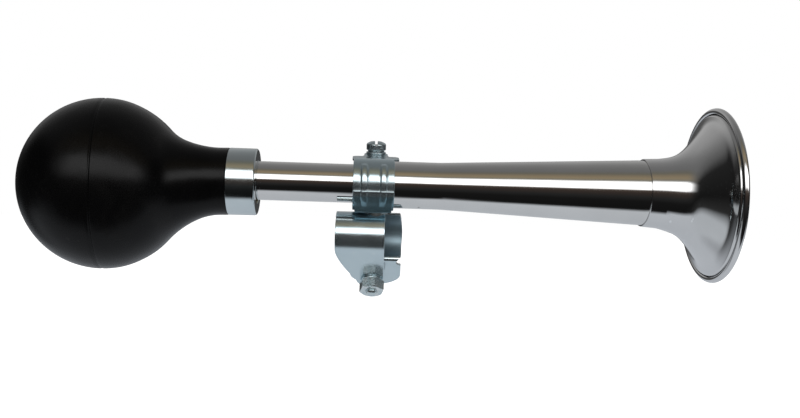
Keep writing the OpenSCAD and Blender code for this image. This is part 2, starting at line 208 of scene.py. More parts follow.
# ---------------------------------------------------------------- sheet strap swept along a path
class Ribbon:
    """Bent sheet: rows across the strip, each a rounded rectangle; a half-round tip at the start, a shaped end."""

    def __init__(self, fr, thick, edge, cols):
        self.fr, self.h, self.rc, self.cols = fr, thick / 2, edge, np.asarray(cols, float)
        self.v, self.f, self.last = [], [], None

    def section(self, xl, xr, h, rc, bump=None):
        """(x, offset) round one row: outer side left to right, right edge, inner side, left edge."""
        q = [k * math.pi / 2 / 4 for k in range(1, 5)]
        x = xl + rc + (xr - xl - 2 * rc) * (self.cols + 1) / 2
        top = np.full(len(x), h) if bump is None else h + bump(x)
        pts = list(zip(x, top))
        pts += [(xr - rc + rc * math.sin(a), h - rc + rc * math.cos(a)) for a in q]
        pts += [(xr - rc + rc * math.cos(a), -h + rc - rc * math.sin(a)) for a in [0] + q[:-1]]
        pts += list(zip(x[::-1], np.full(len(x), -h)))
        pts += [(xl + rc - rc * math.sin(a), -h + rc - rc * math.cos(a)) for a in q]
        pts += [(xl + rc - rc * math.cos(a), h - rc + rc * math.sin(a)) for a in [0] + q[:-1]]
        return np.array(pts)

    def add_row(self, pts3):
        base = len(self.v)
        self.v.extend(pts3.tolist())
        if self.last is not None:
            m = len(pts3)
            for j in range(m):
                k = (j + 1) % m
                self.f.append((self.last + j, base + j, base + k, self.last + k))
        self.last = base

    def row(self, c, nrm, xl, xr, bump=None, h=None, rc=None, t_shift=None):
        h, rc = (self.h if h is None else h), (self.rc if rc is None else rc)
        s = self.section(xl, xr, h, rc, bump)
        t, n = c[0] + s[:, 1] * nrm[0], c[1] + s[:, 1] * nrm[1]
        if t_shift is not None:
            t = t + t_shift(s[:, 0])
        self.add_row(to_world(self.fr, np.stack([s[:, 0], t, n], 1)))

    def tip(self, x_c, t_c, n_c, r, rays=40):
        """Half-round end of a flat ear that faces +t; its outer side faces +n."""
        s = self.section(x_c - r, x_c + r, self.h, self.rc)
        k = len(self.cols)
        mid = k // 2
        half = s[mid:k + 8 + (k - mid)]
        rows = []
        for i in range(rays + 1):
            b = math.pi * i / rays
            d = half[:, 0] - x_c
            p = np.stack([x_c + d * math.cos(b), t_c + d * math.sin(b), n_c + half[:, 1]], 1)
            rows.append(len(self.v))
            self.v.extend(to_world(self.fr, p).tolist())
        m = len(half)
        for a, b in zip(rows[:-1], rows[1:]):
            for j in range(m - 1):
                self.f.append((a + j, b + j, b + j + 1, a + j + 1))

    def cap(self):
        k, base = len(self.cols), self.last
        inner = base + k + 8
        for j in range(k - 1):
            self.f.append((base + j, base + j + 1, inner + k - 2 - j, inner + k - 1 - j))

    def build(self, name):
        return mesh_from(name, self.v, self.f, 2e-4)


def columns(n, edges=(0.004, 0.012, 0.03)):
    """Odd, symmetric spread over -1..1 with a few extra near the ends."""
    c = set(np.round(np.linspace(-1, 1, n), 6))
    for e in edges:
        c |= {round(-1 + e, 6), round(1 - e, 6)}
    return sorted(c)


# ---------------------------------------------------------------- node helpers
class Nodes:
    def __init__(self, name):
        self.mat = bpy.data.materials.new(name)
        self.mat.use_nodes = True
        self.nt = self.mat.node_tree
        self.nt.nodes.clear()
        self.out = self.nt.nodes.new("ShaderNodeOutputMaterial")
        self.bsdf = self.nt.nodes.new("ShaderNodeBsdfPrincipled")
        self.link(self.bsdf.outputs[0], self.out.inputs[0])
        self.co = self.nt.nodes.new("ShaderNodeTexCoord").outputs["Object"]

    def link(self, a, b):
        self.nt.links.new(a, b)

    def set(self, **kw):
        for k, v in kw.items():
            self.bsdf.inputs[k.replace("_", " ")].default_value = v

    def noise(self, scale, detail=3.0, rough=0.5, vector=None, dims="3D", distortion=0.0):
        n = self.nt.nodes.new("ShaderNodeTexNoise")
        n.noise_dimensions = dims
        n.inputs["Scale"].default_value = scale
        n.inputs["Detail"].default_value = detail
        n.inputs["Roughness"].default_value = rough
        n.inputs["Distortion"].default_value = distortion
        if dims == "1D":
            self.link(vector, n.inputs["W"])
        else:
            self.link(self.co if vector is None else vector, n.inputs["Vector"])
        return n.outputs["Fac"]

    def voronoi(self, scale, feature="F1", out="Distance"):
        n = self.nt.nodes.new("ShaderNodeTexVoronoi")
        n.feature = feature
        n.inputs["Scale"].default_value = scale
        self.link(self.co, n.inputs["Vector"])
        return n.outputs[out]

    def math(self, op, a, b=None, clamp=False):
        n = self.nt.nodes.new("ShaderNodeMath")
        n.operation, n.use_clamp = op, clamp
        for i, v in enumerate((a, b)):
            if v is None:
                continue
            if isinstance(v, (int, float)):
                n.inputs[i].default_value = v
            else:
                self.link(v, n.inputs[i])
        return n.outputs[0]

    def ranged(self, v, a, b, lo, hi, soft=False):
        n = self.nt.nodes.new("ShaderNodeMapRange")
        n.interpolation_type = "SMOOTHSTEP" if soft else "LINEAR"
        for k, x in zip(("From Min", "From Max", "To Min", "To Max"), (a, b, lo, hi)):
            n.inputs[k].default_value = x
        self.link(v, n.inputs["Value"])
        return n.outputs[0]

    def ramp(self, v, stops):
        n = self.nt.nodes.new("ShaderNodeValToRGB")
        e = n.color_ramp.elements
        while len(e) > 1:
            e.remove(e[-1])
        e[0].position, e[0].color = stops[0][0], (*stops[0][1], 1)
        for p, c in stops[1:]:
            e.new(p).color = (*c, 1)
        self.link(v, n.inputs[0])
        return n.outputs[0]

    def mix(self, f, a, b):
        n = self.nt.nodes.new("ShaderNodeMix")
        n.data_type = "RGBA"
        if isinstance(f, (int, float)):
            n.inputs[0].default_value = f
        else:
            self.link(f, n.inputs[0])
        for i, v in ((6, a), (7, b)):
            if isinstance(v, tuple):
                n.inputs[i].default_value = (*v, 1)
            else:
                self.link(v, n.inputs[i])
        return n.outputs[2]

    def bump(self, height, strength, distance, normal=None):
        n = self.nt.nodes.new("ShaderNodeBump")
        n.inputs["Strength"].default_value = strength
        n.inputs["Distance"].default_value = distance
        self.link(height, n.inputs["Height"])
        if normal is not None:
            self.link(normal, n.inputs["Normal"])
        return n.outputs[0]

    def pointiness(self):
        return self.nt.nodes.new("ShaderNodeNewGeometry").outputs["Pointiness"]

    def axis(self, i):
        n = self.nt.nodes.new("ShaderNodeSeparateXYZ")
        self.link(self.co, n.inputs[0])
        return n.outputs[i]

    def to(self, socket, name):
        self.link(socket, self.bsdf.inputs[name])


def plated(name, light, dark, r_lo, r_hi, wave=1.0, pits=1.0, spun=0.0, grain=1.0, wear=(0.86, 0.87, 0.88), metal=1.0, dull=None):
    """Plated sheet: faint clouding, pits with a dull halo, slow waviness, fine grain, rubbed edges; optionally a patch
    of painted shade.
    """
    m = Nodes(name)
    m.set(Metallic=metal)
    cloud = m.noise(38, 5, 0.55)
    fine = m.noise(1500, 2, 0.6)
    cell = m.voronoi(105)
    pick = m.nt.nodes.new("ShaderNodeSeparateColor")
    m.link(m.voronoi(105, out="Color"), pick.inputs[0])
    size = m.ranged(pick.outputs[0], 0.62, 1.0, 0.0, 0.075 * pits)
    pit = m.ranged(m.math("SUBTRACT", cell, size), -0.03, 0.012, 1.0, 0.0, True)
    pit = m.math("MULTIPLY", pit, m.ranged(pick.outputs[0], 0.62, 0.66, 0.0, 1.0))
    edge = m.ranged(m.pointiness(), 0.505, 0.56, 0.0, 1.0, True)
    edge = m.math("MULTIPLY", edge, m.ranged(m.noise(420, 3), 0.4, 0.62, 0.15, 1.0, True))
    base = m.mix(m.ranged(cloud, 0.36, 0.66, 0.0, 1.0, True), dark, light)
    base = m.mix(edge, base, wear)
    base = m.mix(m.math("MULTIPLY", pit, 0.85), base, (0.10, 0.095, 0.09))
    # painted shade: inside the given mask the colour turns dark teal and the metal partly dielectric, standing in for
    # shade and dark reflections; the added roughness is real
    if dull:
        where, shade_tint, blunt, shade_metallic = dull
        shade_mask = m.math("MULTIPLY", where(m), m.ranged(cloud, 0.3, 0.7, 0.75, 1.0))
        base = m.mix(shade_mask, base, shade_tint)
        m.to(m.ranged(shade_mask, 0.0, 1.0, metal, shade_metallic), "Metallic")
    m.to(base, "Base Color")
    rough = m.ranged(m.noise(95, 4, 0.6), 0.3, 0.7, r_lo, r_hi)
    if dull:
        rough = m.math("ADD", rough, m.math("MULTIPLY", shade_mask, blunt))
    rough = m.math("ADD", rough, m.math("MULTIPLY", m.ranged(fine, 0.5, 0.8, 0.0, 1.0), 0.05 * grain))
    rough = m.math("ADD", rough, m.math("MULTIPLY", pit, 0.35), True)
    m.to(rough, "Roughness")
    slow = m.noise(55, 1.5, 0.4)
    n = m.bump(slow, 1.0, 0.00010 * wave)
    n = m.bump(fine, 0.35 * grain, 0.0000035, n)
    if spun:
        rings = m.noise(900, 3, 0.65, m.axis(0), "1D")
        n = m.bump(rings, 1.0, 0.000006 * spun, n)
    n = m.bump(m.math("SUBTRACT", 1.0, pit), 0.35, 0.00004, n)
    m.to(n, "Normal")
    return m.mat


def rubber_mat(name):
    """Moulded black rubber: fine grain, dull bloom, slight scuffing."""
    m = Nodes(name)
    m.set(Metallic=0.0, IOR=1.5, Specular_IOR_Level=0.15)
    bloom = m.noise(46, 6, 0.62, distortion=0.6)
    speck = m.noise(2600, 3, 0.6)
    scuff = m.noise(240, 4, 0.7)
    base = m.ramp(bloom, [(0.30, (0.0010, 0.0010, 0.0011)), (0.55, (0.0015, 0.0015, 0.0016)), (0.78, (0.0030, 0.0029, 0.0028))])
    base = m.mix(m.math("MULTIPLY", m.ranged(scuff, 0.62, 0.78, 0.0, 1.0, True), 0.35), base, (0.012, 0.0115, 0.011))
    m.to(base, "Base Color")
    rough = m.ranged(bloom, 0.3, 0.75, 0.22, 0.29)
    rough = m.math("ADD", rough, m.ranged(speck, 0.3, 0.7, -0.04, 0.05), True)
    m.to(rough, "Roughness")
    n = m.bump(m.noise(70, 2), 1.0, 0.00022)
    n = m.bump(speck, 0.45, 0.00003, n)
    m.to(n, "Normal")
    return m.mat


def turned(name, light, dark, lo, hi, tarnish):
    """Bare turned metal of the hidden inner pieces: tool lines, tarnish blooms."""
    m = Nodes(name)
    m.set(Metallic=1.0)
    lines = m.noise(2600, 2, 0.7, m.axis(0), "1D")
    patch = m.noise(160, 5, 0.6)
    base = m.mix(m.ranged(patch, 0.35, 0.65, 0.0, 1.0, True), light, dark)
    base = m.mix(m.math("MULTIPLY", m.ranged(m.noise(520, 4), 0.55, 0.72, 0.0, 1.0, True), 0.5), base, tarnish)
    m.to(base, "Base Color")
    m.to(m.ranged(m.math("ADD", patch, m.math("MULTIPLY", lines, 0.4)), 0.4, 1.0, lo, hi), "Roughness")
    m.to(m.bump(m.noise(1400, 2), 0.3, 0.00001, m.bump(lines, 0.6, 0.000012)), "Normal")
    return m.mat


CHROME = plated("chrome_tube", (0.755, 0.75, 0.74), (0.715, 0.71, 0.70), 0.035, 0.075, wave=0.8)
CHROME_BELL = plated("chrome_bell", (0.755, 0.752, 0.75), (0.71, 0.71, 0.71), 0.06, 0.11, wave=0.4, pits=0.0, spun=0.7, grain=0.6)


def in_bore(m):
    """1 on the strap's inner face, which gets painted shade: the inside of the loop darkened."""
    y = m.math("ADD", m.axis(1), m.math("MULTIPLY", m.axis(0), math.tan(rad(2))))
    r = m.math("SQRT", m.math("ADD", m.math("MULTIPLY", y, y), m.math("MULTIPLY", m.axis(2), m.axis(2))))
    return m.ranged(r, 0.0096, 0.0099, 1.0, 0.0, True)


def on_foot(m):
    """1 on the band's foot, which gets painted shade: dark teal for the shade and dark reflections between the band and
    the strap.
    """
    return m.ranged(m.axis(2), 0.0178, 0.0196, 1.0, 0.0, True)


# the band's foot carries painted shade in dark teal
ZINC = plated("zinc_band", (0.60, 0.705, 0.745), (0.545, 0.655, 0.70), 0.15, 0.23, wave=0.4, pits=0.4, grain=0.8, wear=(0.70, 0.77, 0.79), metal=0.96, dull=(on_foot, (0.085, 0.19, 0.24), 0.04, 0.86))
# the strap's inner face carries painted shade
ZINC_BAR = plated("zinc_strap", (0.60, 0.705, 0.745), (0.545, 0.655, 0.70), 0.15, 0.23, wave=0.4, pits=0.4, grain=0.8, wear=(0.70, 0.77, 0.79), metal=0.96, dull=(in_bore, (0.17, 0.24, 0.28), 0.28, 0.85))
ZINC_FERRULE = plated("zinc_ferrule", (0.66, 0.725, 0.745), (0.61, 0.68, 0.70), 0.10, 0.17, wave=0.5, pits=0.4, spun=1.0, grain=1.2, wear=(0.76, 0.80, 0.81))
ZINC_SCREW = plated("zinc_fastener", (0.58, 0.68, 0.71), (0.48, 0.57, 0.605), 0.19, 0.29, wave=0.2, pits=0.25, grain=0.6, wear=(0.72, 0.77, 0.78), metal=0.94)
STEEL = turned("steel_bare", (0.52, 0.53, 0.55), (0.40, 0.41, 0.43), 0.24, 0.42, (0.16, 0.12, 0.09))
BRASS = turned("brass_turned", (0.76, 0.56, 0.26), (0.63, 0.44, 0.19), 0.18, 0.36, (0.22, 0.15, 0.08))
RUBBER = rubber_mat("rubber_black")


def dress(o, body, mat, slot, *stands_for, angle=30):
    shade(o, angle)
    o.data.materials.clear()
    o.data.materials.append(mat)
    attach(o, body)
    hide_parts(*stands_for)
    return o


# ---------------------------------------------------------------- bulb
U_B, R_B, F_B, N_B, W_B = -117.5, 37.7, 31.0, 15.0, 3.0
U_F0, U_F1 = -63.0, -50.5


def bulb_outline(R, f, nr, groove):
    """(radius, station) from the back pole to the neck: ball, seam, hollow curve."""
    uc = U_B + math.sqrt((R + f) ** 2 - (nr + f) ** 2)
    at = math.atan2(nr + f, uc - U_B)
    pts = []
    for i in range(1, 61):
        a = math.pi - (math.pi / 2) * i / 60
        pts.append((R * math.sin(a), U_B + R * math.cos(a)))
    if groove:
        pts = pts[:-1]
        for d, du in ((0.10, -0.75), (0.12, -0.55), (0.24, -0.38), (0.42, -0.2), (0.46, 0.0), (0.38, 0.2), (0.16, 0.38), (0.03, 0.55), (0.0, 0.75)):
            pts.append((R - d, U_B + du))
    a1 = math.acos(0.9 / R) if groove else math.pi / 2
    for i in range(1, 41):
        a = a1 + (at - a1) * i / 40
        pts.append((R * math.sin(a), U_B + R * math.cos(a)))
    for i in range(1, 31):
        a = (math.pi + at) + (math.pi / 2 - at) * i / 30
        pts.append((nr + f + f * math.sin(a), uc + f * math.cos(a)))
    return pts


outer = bulb_outline(R_B, F_B, N_B, True)
inner = bulb_outline(R_B - W_B, F_B, N_B - W_B, False)
lip = rounded([(N_B, outer[-1][1], 0), (N_B, U_F0 - 0.15, 0.45), (13.9, U_F0 - 0.15, 0.0), (13.9, -54.7, 0.4), (10.75, -54.7, 0.3), (10.75, -66.0, 0)], 5, closed=False)
rows = [(0, U_B - R_B)] + outer + lip[1:-1] + [(10.75, -66.0)] + [p for p in inner[::-1] if p[0] > 10.76 or p[1] < U_B] + [(0, U_B - R_B + W_B)]
bulb = spin("bulb_rubber", rows, HORN, 224)
DROOP = np.array([(-200, -3.5), (-92, -3.5), (-86, -3.25), (-80, -2.1), (-74, -1.3), (-67, -0.9), (-63, -0.8), (-58, -0.75), (-40, -0.75)])


def droop(u):
    return sum(np.interp(u + k, DROOP[:, 0], DROOP[:, 1]) for k in (-3, -2, -1, 0, 1, 2, 3)) / 7


co = np.array([v.co for v in bulb.data.vertices], float) / MM
u, y, z = co[:, 0] - X0, co[:, 1], co[:, 2] - HORN_H
r_at = np.hypot(y, z)
turn = rad(5.3) * np.array([smooth((-93 - k) / 17) for k in u])
cx, sx = np.cos(turn), np.sin(turn)
du = u - U_B
du = np.where(du < 0, du * 0.976, du - 0.65 * np.array([smooth((k + 112) / 12) * smooth((-76 - k) / 12) for k in u]))
co[:, 0] = X0 + U_B + du * cx - y * sx
co[:, 1] = du * sx + y * cx
soft = np.array([1 - smooth((11.6 - k) / 0.8) * smooth((m + 72) / 6) for k, m in zip(r_at, u)])
co[:, 2] += droop(u) * soft
bulb.data.vertices.foreach_set("co", (co * MM).astype(np.float32).ravel())
bulb.data.update()
dress(bulb, "bulb", RUBBER, "rubber", "bulb", angle=40)
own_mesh(bulb)

# ---------------------------------------------------------------- ferrule, tubes, bell
fer = rounded([(14.92, U_F0, 0.22), (14.92, U_F1, 1.0), (9.55, U_F1, 0.25), (9.55, -51.3, 0), (14.35, -51.3, 0.4), (14.35, U_F0, 0.1)], 7)
ferrule = spin("ferrule_zinc", fer, shifted(HORN, -0.75, 0, 0), 256, True)
dress(ferrule, "horn", ZINC_FERRULE, "zinc", "ferrule")

tube = rounded([(REAR_R, -66, 0.2), (REAR_R, 9, 0.2), (REAR_R - TUBE_T, 9, 0.15), (REAR_R - TUBE_T, -66, 0.15)], 5)
dress(spin("rear_tube_chrome", tube, HORN, 256, True), "horn", CHROME, "chrome", "rear_tube")

cone = rounded([(CONE_R, -7.4, 0.25), (CONE_R, 31, 60.0), (CONE_END, 121.6, 40.0), (CONE_END, 130, 0.2),
                (CONE_END - TUBE_T, 130, 0.15), (CONE_END - TUBE_T, 121.6, 40), (CONE_R - TUBE_T, 31, 60), (CONE_R - TUBE_T, -7.4, 0.15)], 8)
dress(spin("cone_tube_chrome", cone, HORN, 256, True), "horn", CHROME, "chrome", "cone_tube")

U_C, U_R, BELL_T, BEAD, RIM = 130.5, 155.6, 0.55, 1.5, 39.75


def flare(v):
    return 15.77 + 0.152 * (v - U_C) + 3.58 * math.log1p(math.exp((v - 141.9) / 2.93)) + 0.91 * math.log1p(math.exp((v - 152.9) / 0.35))


# middle line of the sheet, (station, radius): flare, narrow flange, short nip, then a curl round the rim's wire
half_t = BELL_T / 2
line = []
for i in range(161):
    v = U_C + (153.75 - U_C) * i / 160
    sl = 0.152 + 1.222 / (1 + math.exp(-(v - 141.9) / 2.93)) + 2.6 / (1 + math.exp(-(v - 152.9) / 0.35))
    q = half_t / math.hypot(1, sl)
    line.append((v + q * sl, flare(v) - q))
cu, cr, rho = U_R, RIM - BEAD, BEAD - half_t
p_in = (cu + rho * math.cos(rad(-65)), cr + rho * math.sin(rad(-65)))
d_in = np.array((math.cos(rad(25)), math.sin(rad(25))))
last = np.array(line[-1])
d_last = last - np.array(line[-2])
d_last /= np.linalg.norm(d_last)
w = last - np.array(p_in)
den = d_last[0] * (-d_in[1]) + d_last[1] * d_in[0]
k_hit = ((-w[0]) * (-d_in[1]) + (-w[1]) * d_in[0]) / den
hit = last + d_last * k_hit
bend = rounded([(*line[-4], 0), (*hit, 0.9), (*p_in, 0)], 8, 0.05, closed=False)
line = line[:-4] + bend
line += [(cu + rho * math.cos(rad(a)), cr + rho * math.sin(rad(a))) for a in np.arange(-59, 228.1, 6)]
line = np.array(line)
tan = np.gradient(line, axis=0)
tan /= np.linalg.norm(tan, axis=1)[:, None]
nrm = np.stack([-tan[:, 1], tan[:, 0]], 1)
out_side, in_side = line + nrm * half_t, line - nrm * half_t
collar = rounded([(14.80, 123.4, 0.08), (15.40, 123.4, 0.26), (flare(U_C), U_C, 0.0)], 5, 0.05)
bell_rows = collar[:-1] + [(r, v) for v, r in out_side]
end = line[-1]
bell_rows += [(end[1] + tan[-1][1] * s + nrm[-1][1] * t, end[0] + tan[-1][0] * s + nrm[-1][0] * t) for s, t in ((0.12, 0.2), (0.2, 0.0), (0.12, -0.2))]
bell_rows += [(r, v) for v, r in in_side[::-1]]
bell = spin("bell_chrome", bell_rows, HORN, 320, True)
wire = spin("rim_wire_steel", [(cr + 0.95 * math.sin(TAU * k / 16), cu + 0.95 * math.cos(TAU * k / 16)) for k in range(16)], HORN, 192, True)


def nod(o, pitch, yaw, pivot, u_a, u_b):
    """Bends a mesh past a station of the horn: down by pitch, towards the front by yaw, and lower by half a millimetre."""
    q = np.array([k.co for k in o.data.vertices], float) / MM
    w = np.array([smooth((k - X0 - u_a) / (u_b - u_a)) for k in q[:, 0]])
    d = q - np.array((X0 + pivot, 0, HORN_H))
    c, sn = np.cos(rad(pitch) * w), np.sin(rad(pitch) * w)
    x, z = d[:, 0] * c + d[:, 2] * sn, -d[:, 0] * sn + d[:, 2] * c
    c, sn = np.cos(rad(yaw) * w), np.sin(rad(yaw) * w)
    q = np.stack([x * c + d[:, 1] * sn, -x * sn + d[:, 1] * c, z - 0.55 * w], 1) + np.array((X0 + pivot, 0, HORN_H))
    o.data.vertices.foreach_set("co", (q * MM).astype(np.float32).ravel())
    o.data.update()


for o in (bell, wire):
    nod(o, -0.6, 1.5, 131, 127, 139)
dress(wire, "horn", STEEL, "steel", "rim_wire")
dress(bell, "horn", CHROME_BELL, "chrome", "bell", angle=22)

# ---------------------------------------------------------------- band round the tube
RIB = [(BAND_X - 4.15, 1.5), (BAND_X + 4.35, 1.45)]


def rib_at(strength):
    def f(x):
        h = np.zeros_like(x)
        for c, wd in RIB:
            d = np.abs(x - c) / wd
            h += 0.56 * np.clip(1 - d * d, 0, None) ** 0.8 - 0.2 * np.exp(-((d - 1.16) / 0.18) ** 2)
        return h * strength
    return f


RM = BAND_RI + BAND_T / 2
ribbon = Ribbon(BAND, BAND_T, 0.28, columns(125))
ribbon.tip(SCREW_X, SCREW_S, RM, 5.4)


def ear_sides(t):
    k = smooth((t + 5) / 17)
    return BAND_X - BAND_W / 2 + k * (SCREW_X - 5.4 - BAND_X + BAND_W / 2), BAND_X + BAND_W / 2 + k * (SCREW_X + 5.4 - BAND_X - BAND_W / 2)


for i in range(25):
    t = SCREW_S * (1 - i / 24)
    ribbon.row((t, RM), (0, 1), *ear_sides(t))
fold = 1.1
n_m = EAR_N + BAND_T / 2
n_c = n_m - fold
t_c = math.sqrt((RM + fold) ** 2 - n_c ** 2)
a_end = 360 + math.degrees(math.atan2(n_c, t_c))
n_ring = 130
for i in range(1, n_ring + 1):
    a = 90 + (a_end - 90) * i / n_ring
    s = smooth((a - 121) / 8) * smooth((219 - a) / 8)
    d = (math.cos(rad(a)), math.sin(rad(a)))
    sides = ear_sides(RM * d[0]) if a < 180 else (BAND_X - BAND_W / 2, BAND_X + BAND_W / 2)
    ribbon.row((RM * d[0], RM * d[1]), d, *sides, rib_at(s))
for i in range(1, 11):
    b = rad((a_end - 360 + 180) + (90 - (a_end - 360 + 180)) * i / 10)
    d = (math.cos(b), math.sin(b))
    ribbon.row((t_c + fold * d[0], n_c + fold * d[1]), (-d[0], -d[1]), BAND_X - BAND_W / 2, BAND_X + BAND_W / 2)
T0, LX, RX = 13.2, SCREW_X - 10.8, SCREW_X + 10.8
for i in range(1, 9):
    t = t_c + (T0 - t_c) * i / 8
    k = smooth(i / 8)
    ribbon.row((t, n_m), (0, -1), BAND_X - BAND_W / 2 + k * (LX - BAND_X + BAND_W / 2), BAND_X + BAND_W / 2 + k * (RX - BAND_X - BAND_W / 2))


def lower_end(x):
    d = np.clip(np.abs(x - SCREW_X) - 7.8, 0, 3.0)
    return 18.1 + np.sqrt(9.0 - d * d)


ec = 0.28
for i in range(1, 15):
    lam = i / 14 * 0.985
    ribbon.row((0, n_m), (0, -1), LX, RX, t_shift=lambda x, g=lam: (1 - g) * T0 + g * (lower_end(x) - ec))
for g in (0, 22.5, 45, 67.5, 90):
    c, s = math.cos(rad(g)), math.sin(rad(g))
    ribbon.row((0, n_m), (0, -1), LX, RX, h=BAND_T / 2 - ec + ec * c, rc=ec * c + 1e-3, t_shift=lambda x, s=s: lower_end(x) - ec + ec * s)
ribbon.cap()
band = ribbon.build("horn_band_zinc")


def saddle(name, fr, r, z_flat, z_of, rnd):
    """Round pad between a flat end and a curved strap; z_of gives the strap's middle surface."""
    th = np.arange(96) * TAU / 96
    rings = [0.0] + list(np.linspace(0.9, r, 10))
    rows = []
    for q in rings:
        zz = z_of(q * np.cos(th), q * np.sin(th))
        rows.append((q, zz if q else float(z_of(0.0, 0.0))))
    sign = 1 if z_flat > float(z_of(0.0, 0.0)) else -1
    for g in (0, 30, 60, 90):
        rows.append((r - rnd + rnd * math.cos(rad(g)), z_flat - sign * (rnd - rnd * math.sin(rad(g)))))
    rows += [(q, z_flat) for q in (r * 0.6,)] + [(0, z_flat)]
    return spin(name, rows, fr, 96)


# foot that draws in to the swivel: a section (y, z) across the band, pushed along it, its ends rounded
base = SW1 - HORN_H
half_wall = rounded([(11.62, -1.2, 0), (11.9, -2.9, 1.2), (11.5, -5.2, 5.0), (10.75, -7.4, 8.0), (9.85, -9.4, 8.0), (9.2, -11.1, 4.0), (9.02, base, 0.25), (8.0, base, 0)], 5, 0.05, closed=False)
over = [(RM * math.sin(rad(k)), -RM * math.cos(rad(k))) for k in np.linspace(-75, 75, 31)]
loop = [(-a, b) for a, b in half_wall] + half_wall[::-1] + over[::-1]
v, f = [], []
xs = [BAND_X - BAND_W / 2 + 0.2, BAND_X - BAND_W / 2 + 0.28, BAND_X - BAND_W / 2 + 0.45] + list(np.linspace(BAND_X - 8, BAND_X + 8, 97)) + [BAND_X + BAND_W / 2 - 0.45, BAND_X + BAND_W / 2 - 0.28, BAND_X + BAND_W / 2 - 0.2]
m_l = len(loop)
for i, x in enumerate(xs):
    inset = (0.25, 0.08, 0.0)[min(i, len(xs) - 1 - i, 2)]
    ridge = float(rib_at(0.85)(np.array([x]))[0])
    v += [(BAND_X + (x - BAND_X) * (1 - 0.09 * smooth((-5 - b) / 4)), a + (ridge * smooth((b + 10) / 4) - inset) * np.sign(a) * (b < -1.1 and abs(a) > 8.5), HORN_H + b + inset * (abs(b - base) < 0.3)) for a, b in loop]
for i in range(len(xs) - 1):
    for j in range(m_l):
        k = (j + 1) % m_l
        f.append((i * m_l + j, (i + 1) * m_l + j, (i + 1) * m_l + k, i * m_l + k))
f.append(tuple(range(m_l)))
f.append(tuple(range((len(xs) - 1) * m_l, len(xs) * m_l))[::-1])
boolean(band, mesh_from("foot", v, f), "UNION")
boolean(band, plug(shifted(BAND, SCREW_X, SCREW_S, 0), 2.75, 2, 20), "DIFFERENCE")
sink = spin("cutter", [(0, SW1 - 1), (2.15, SW1 - 1), (2.15, SW1 + 0.3), (3.2, SW1 + 1.35), (3.2, SW1 + 3), (0, SW1 + 3)], UP, 64)
boolean(band, sink, "DIFFERENCE")
dress(band, "band", ZINC, "zinc", "horn_band", angle=32)

# ---------------------------------------------------------------- strap round the handlebar
# the strap's own x runs from right to left, so a place along the bar changes its sign
RB = BAR_R + BAR_T / 2
TOP = 90 + 142
EAR_MID = FRONT_X[1] - EAR_HALF


def front_left(t):
    return FRONT_X[0] + (EAR_MID - EAR_HALF - FRONT_X[0]) * max(0.0, (t + 3) / (BOLT_S + 3)) ** 1.5


strap = Ribbon(BAR, BAR_T, 0.3, columns(81))
strap.tip(-EAR_MID, BOLT_S, RB, EAR_HALF)
for i in range(31):
    t = BOLT_S * (1 - i / 30)
    strap.row((t, RB), (0, 1), -FRONT_X[1], -front_left(t))
fold = 1.1
n_m = REAR_N - BAR_T / 2
n_c = n_m - fold
t_c = math.sqrt((RB + fold) ** 2 - n_c ** 2)
a_end = 360 + math.degrees(math.atan2(n_c, t_c))
# the front wall runs up to the top, where the strip steps over to the rear wall
for a in list(np.linspace(90, TOP - 1.2, 88))[1:] + list(np.linspace(TOP + 1.2, a_end, 100)):
    d = (math.cos(rad(a)), math.sin(rad(a)))
    if a < TOP:
        strap.row((RB * d[0], RB * d[1]), d, -FRONT_X[1], -front_left(RB * d[0]) if a < 180 else -FRONT_X[0])
    else:
        strap.row((RB * d[0], RB * d[1]), d, -REAR_X[1] + 1.0 - 1.3 * smooth((a - TOP) / 90) + 0.3 * smooth((a - TOP - 90) / 40), -REAR_X[0])
for i in range(1, 13):
    b = rad((a_end - 360 + 180) + (90 - (a_end - 360 + 180)) * i / 12)
    d = (math.cos(b), math.sin(b))
    strap.row((t_c + fold * d[0], n_c + fold * d[1]), (-d[0], -d[1]), -REAR_X[1], -REAR_X[0])


def rear_end(x):
    c = (np.asarray(x) + (REAR_X[0] + REAR_X[1]) / 2) / ((REAR_X[1] - REAR_X[0]) / 2)
    return BOLT_S - 1.8 + 9.5 * np.sqrt(np.clip(1 - c * c, 0, None))


ec = 0.3
for i in range(1, 19):
    lam = i / 18 * 0.985
    strap.row((0, n_m), (0, -1), -REAR_X[1], -REAR_X[0], t_shift=lambda x, g=lam: (1 - g) * t_c + g * (rear_end(x) - ec))
for g in (0, 22.5, 45, 67.5, 90):
    c, sn = math.cos(rad(g)), math.sin(rad(g))
    strap.row((0, n_m), (0, -1), -REAR_X[1], -REAR_X[0], h=BAR_T / 2 - ec + ec * c, rc=ec * c + 1e-3, t_shift=lambda x, q=sn: rear_end(x) - ec + ec * q)
strap.cap()
bar_strap = strap.build("bar_strap_zinc")
B2 = _B[:2]
pad = saddle("pad", UP, SEAT_R, SW0, lambda x, y: np.sqrt(RB ** 2 - (np.asarray(x) * B2[0] + np.asarray(y) * B2[1]) ** 2), 0.12)
boolean(bar_strap, pad, "UNION")
boolean(bar_strap, plug(shifted(BAR, -BOLT_X, BOLT_S, 0), 2.75, 0, 20), "DIFFERENCE")
for x in REAR_X:
    boolean(bar_strap, plug(shifted(BAR, -x, 9.52, 0), 2.2, 5.2, 9.1, 48), "DIFFERENCE")
sink = spin("cutter", [(0, BAR_R - 2), (4.18, BAR_R - 2), (4.18, BAR_R - 0.9), (2.03, BAR_R + 1.22), (2.03, BAR_R + 4), (0, BAR_R + 4)], UP, 64)
boolean(bar_strap, sink, "DIFFERENCE")
dress(bar_strap, "bar_clamp", ZINC_BAR, "zinc", "bar_strap", angle=32)

# ---------------------------------------------------------------- fasteners


